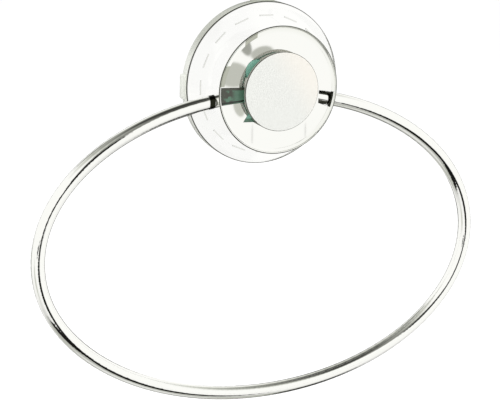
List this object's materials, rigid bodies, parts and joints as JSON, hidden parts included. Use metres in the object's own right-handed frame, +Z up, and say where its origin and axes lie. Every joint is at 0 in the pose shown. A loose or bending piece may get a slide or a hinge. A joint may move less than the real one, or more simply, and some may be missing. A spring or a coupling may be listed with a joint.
{
  "type": "towel ring",
  "caption": "Oval towel ring of round chromed wire on a round dish mount, held to a smooth wall by a clear suction cup.",
  "frame": {"origin": "centre of the suction cup's back, on the wall's face", "axes": "+Z up, the front faces -Y, +X to the right seen from the front; the wall is the plane Y = 0"},
  "size_m": [0.2136, 0.0258, 0.1809],
  "materials": {
    "polished_chrome": "bright polished chrome plate",
    "satin_cap": "pale satin",
    "teal_abs": "moulded, smooth",
    "clear_vinyl": "clear soft vinyl, glossy",
    "zinc_steel": "bright zinc plate"
  },
  "bodies": {
    "root": {"ring_wire": "polished_chrome", "housing": "polished_chrome", "front_cap": "satin_cap", "cap_carrier": "teal_abs", "suction_cup": "clear_vinyl", "stud": "zinc_steel", "washer": "zinc_steel", "hex_nut": "zinc_steel", "set_screws": "zinc_steel"}
  },
  "joints": []
}
